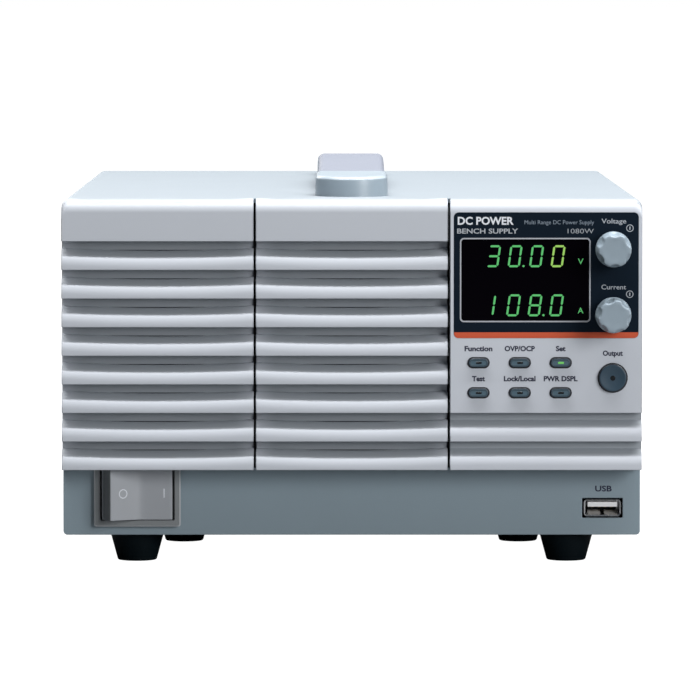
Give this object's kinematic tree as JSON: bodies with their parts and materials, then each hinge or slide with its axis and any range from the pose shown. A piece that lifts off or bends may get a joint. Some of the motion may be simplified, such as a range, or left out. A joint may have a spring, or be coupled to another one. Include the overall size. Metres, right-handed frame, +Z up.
{
  "type": "bench power supply",
  "caption": "Bench DC power supply: fluted front grilles, control panel with displays, knobs and keys, rocker switch, USB socket, top strap handle, rubber feet, rear fans and output terminals.",
  "frame": {"origin": "middle of the whole object's outline, on the surface that its feet stand on", "axes": "+X to the right and +Z up as seen from the front; the front faces -Y, the rear connectors +Y"},
  "size_m": [0.214, 0.3976, 0.1473],
  "materials": {
    "zinc_steel": "zinc plated sheet, satin",
    "panel_paint": "fine textured powder coat, satin blue-grey",
    "cover_paint": "fine textured powder coat, satin light blue-grey",
    "bezel_plastic": "moulded plastic with a fine spark-eroded grain",
    "overlay_film": "printed polycarbonate film, satin near-black with an orange foot line",
    "display_lens": "smoked clear acrylic, polished",
    "display_body": "black lamp block with green segments",
    "circuit_board": "glass-fibre board with green solder mask",
    "black_plastic": "glass-filled nylon, satin",
    "switch_metal": "machined, satin",
    "knob_plastic": "moulded, satin light blue-grey",
    "key_plastic": "moulded, satin dark slate",
    "ivory_plastic": "moulded acetal",
    "switch_frame": "moulded nylon, satin dark grey",
    "rocker_plastic": "moulded nylon, satin mid grey",
    "connector_metal": "nickel plated, satin",
    "cap_plastic": "moulded, satin blue-grey",
    "strap_skin": "soft vinyl over a spring steel strip, pale grey",
    "fastener_steel": "zinc plated",
    "guard_wire": "nickel plated wire",
    "foot_rubber": "moulded rubber",
    "bar_copper": "tinned copper bar, bare copper colour",
    "cover_plastic": "moulded, satin dark grey",
    "pin_brass": "bright turned",
    "heatsink_aluminium": "extruded, natural",
    "transformer_core": "ferrite core and taped winding",
    "capacitor_can": "sleeved can",
    "wire_grey": "vinyl insulation"
  },
  "bodies": {
    "case": {"chassis_tray": "zinc_steel", "front_panel": "panel_paint", "rear_panel": "panel_paint", "top_cover": "cover_paint", "left_grille": "bezel_plastic", "middle_grille": "bezel_plastic", "control_bezel": "bezel_plastic", "panel_overlay": "overlay_film", "display_window": "display_lens", "voltage_display": "display_body", "current_display": "display_body", "control_board": "circuit_board", "key_switches": "black_plastic", "encoder_bodies": "switch_metal", "switch_housing": "switch_frame", "usb_shell": "connector_metal", "usb_tongue": "ivory_plastic", "handle_front_cap": "cap_plastic", "handle_rear_cap": "cap_plastic", "handle_fasteners": "fastener_steel", "rubber_feet": "foot_rubber", "case_screws": "fastener_steel", "rear_screws": "fastener_steel", "fan_frames": "black_plastic", "fan_guards": "guard_wire", "terminal_block": "black_plastic", "positive_bus_bar": "bar_copper", "negative_bus_bar": "bar_copper", "ac_inlet": "black_plastic", "inlet_pins": "pin_brass", "line_filter": "connector_metal", "lan_socket": "connector_metal", "usb_b_socket": "connector_metal", "analog_connectors": "black_plastic", "ground_stud": "pin_brass", "power_boards": "circuit_board", "heatsinks": "heatsink_aluminium", "transformers": "transformer_core", "bulk_capacitors": "capacitor_can", "wiring_harness": "wire_grey"},
    "function_key": {"function_key": "key_plastic"},
    "protection_key": {"protection_key": "key_plastic"},
    "set_key": {"set_key": "key_plastic"},
    "test_key": {"test_key": "key_plastic"},
    "lock_key": {"lock_key": "key_plastic"},
    "display_key": {"display_key": "key_plastic"},
    "output_button": {"output_button": "key_plastic"},
    "voltage_push": {"voltage_plunger": "ivory_plastic"},
    "voltage_dial": {"voltage_knob": "knob_plastic", "voltage_shaft": "switch_metal"},
    "current_push": {"current_plunger": "ivory_plastic"},
    "current_dial": {"current_knob": "knob_plastic", "current_shaft": "switch_metal"},
    "power_rocker": {"power_rocker": "rocker_plastic"},
    "strap_front": {"handle_strap_front": "strap_skin"},
    "strap_rear": {"handle_strap_rear": "strap_skin"},
    "left_fan": {"left_fan_rotor": "black_plastic"},
    "middle_fan": {"middle_fan_rotor": "black_plastic"},
    "right_fan": {"right_fan_rotor": "black_plastic"},
    "terminal_cover": {"terminal_cover": "cover_plastic"}
  },
  "joints": [
    {"name": "function_key_press", "type": "slide", "parent": "case", "child": "function_key", "axis": [0, 1, 0], "range_m": [0, 0.0006], "stiffness_N_per_m": 400},
    {"name": "protection_key_press", "type": "slide", "parent": "case", "child": "protection_key", "axis": [0, 1, 0], "range_m": [0, 0.0006], "stiffness_N_per_m": 400},
    {"name": "set_key_press", "type": "slide", "parent": "case", "child": "set_key", "axis": [0, 1, 0], "range_m": [0, 0.0006], "stiffness_N_per_m": 400},
    {"name": "test_key_press", "type": "slide", "parent": "case", "child": "test_key", "axis": [0, 1, 0], "range_m": [0, 0.0006], "stiffness_N_per_m": 400},
    {"name": "lock_key_press", "type": "slide", "parent": "case", "child": "lock_key", "axis": [0, 1, 0], "range_m": [0, 0.0006], "stiffness_N_per_m": 400},
    {"name": "display_key_press", "type": "slide", "parent": "case", "child": "display_key", "axis": [0, 1, 0], "range_m": [0, 0.0006], "stiffness_N_per_m": 400},
    {"name": "output_button_press", "type": "slide", "parent": "case", "child": "output_button", "axis": [0, 1, 0], "range_m": [0, 0.0008], "stiffness_N_per_m": 400},
    {"name": "voltage_knob_press", "type": "slide", "parent": "case", "child": "voltage_push", "axis": [0, 1, 0], "range_m": [0, 0.0005], "stiffness_N_per_m": 800},
    {"name": "voltage_knob_turn", "type": "hinge", "parent": "voltage_push", "child": "voltage_dial", "pos_m": [0.0963, -0.18925, 0.1169], "axis": [0, 1, 0], "continuous": true},
    {"name": "current_knob_press", "type": "slide", "parent": "case", "child": "current_push", "axis": [0, 1, 0], "range_m": [0, 0.0005], "stiffness_N_per_m": 800},
    {"name": "current_knob_turn", "type": "hinge", "parent": "current_push", "child": "current_dial", "pos_m": [0.0963, -0.18925, 0.0927], "axis": [0, 1, 0], "continuous": true},
    {"name": "power_rocker_tilt", "type": "hinge", "parent": "case", "child": "power_rocker", "pos_m": [-0.0795, -0.17125, 0.026], "axis": [0, 0, 1], "range_deg": [-28.7, 0]},
    {"name": "handle_lift", "type": "hinge", "parent": "case", "child": "strap_front", "pos_m": [0, -0.12825, 0.13825], "axis": [1, 0, 0], "range_deg": [-2, 8], "stiffness_Nm_per_rad": 2},
    {"name": "handle_bend", "type": "hinge", "parent": "strap_front", "child": "strap_rear", "pos_m": [0, -0.00925, 0.14515], "axis": [1, 0, 0], "range_deg": [-16, 4]},
    {"name": "left_fan_spin", "type": "hinge", "parent": "case", "child": "left_fan", "pos_m": [-0.0716, 0.15425, 0.0963], "axis": [0, 1, 0], "continuous": true},
    {"name": "middle_fan_spin", "type": "hinge", "parent": "case", "child": "middle_fan", "pos_m": [0, 0.15425, 0.0963], "axis": [0, 1, 0], "continuous": true},
    {"name": "right_fan_spin", "type": "hinge", "parent": "case", "child": "right_fan", "pos_m": [0.0716, 0.15425, 0.0963], "axis": [0, 1, 0], "continuous": true},
    {"name": "terminal_cover_slide", "type": "slide", "parent": "case", "child": "terminal_cover", "axis": [0, 1, 0], "range_m": [0, 0.045]}
  ],
  "couplings": [
    {"joint": "handle_bend", "follows": "handle_lift", "ratio": -2}
  ]
}
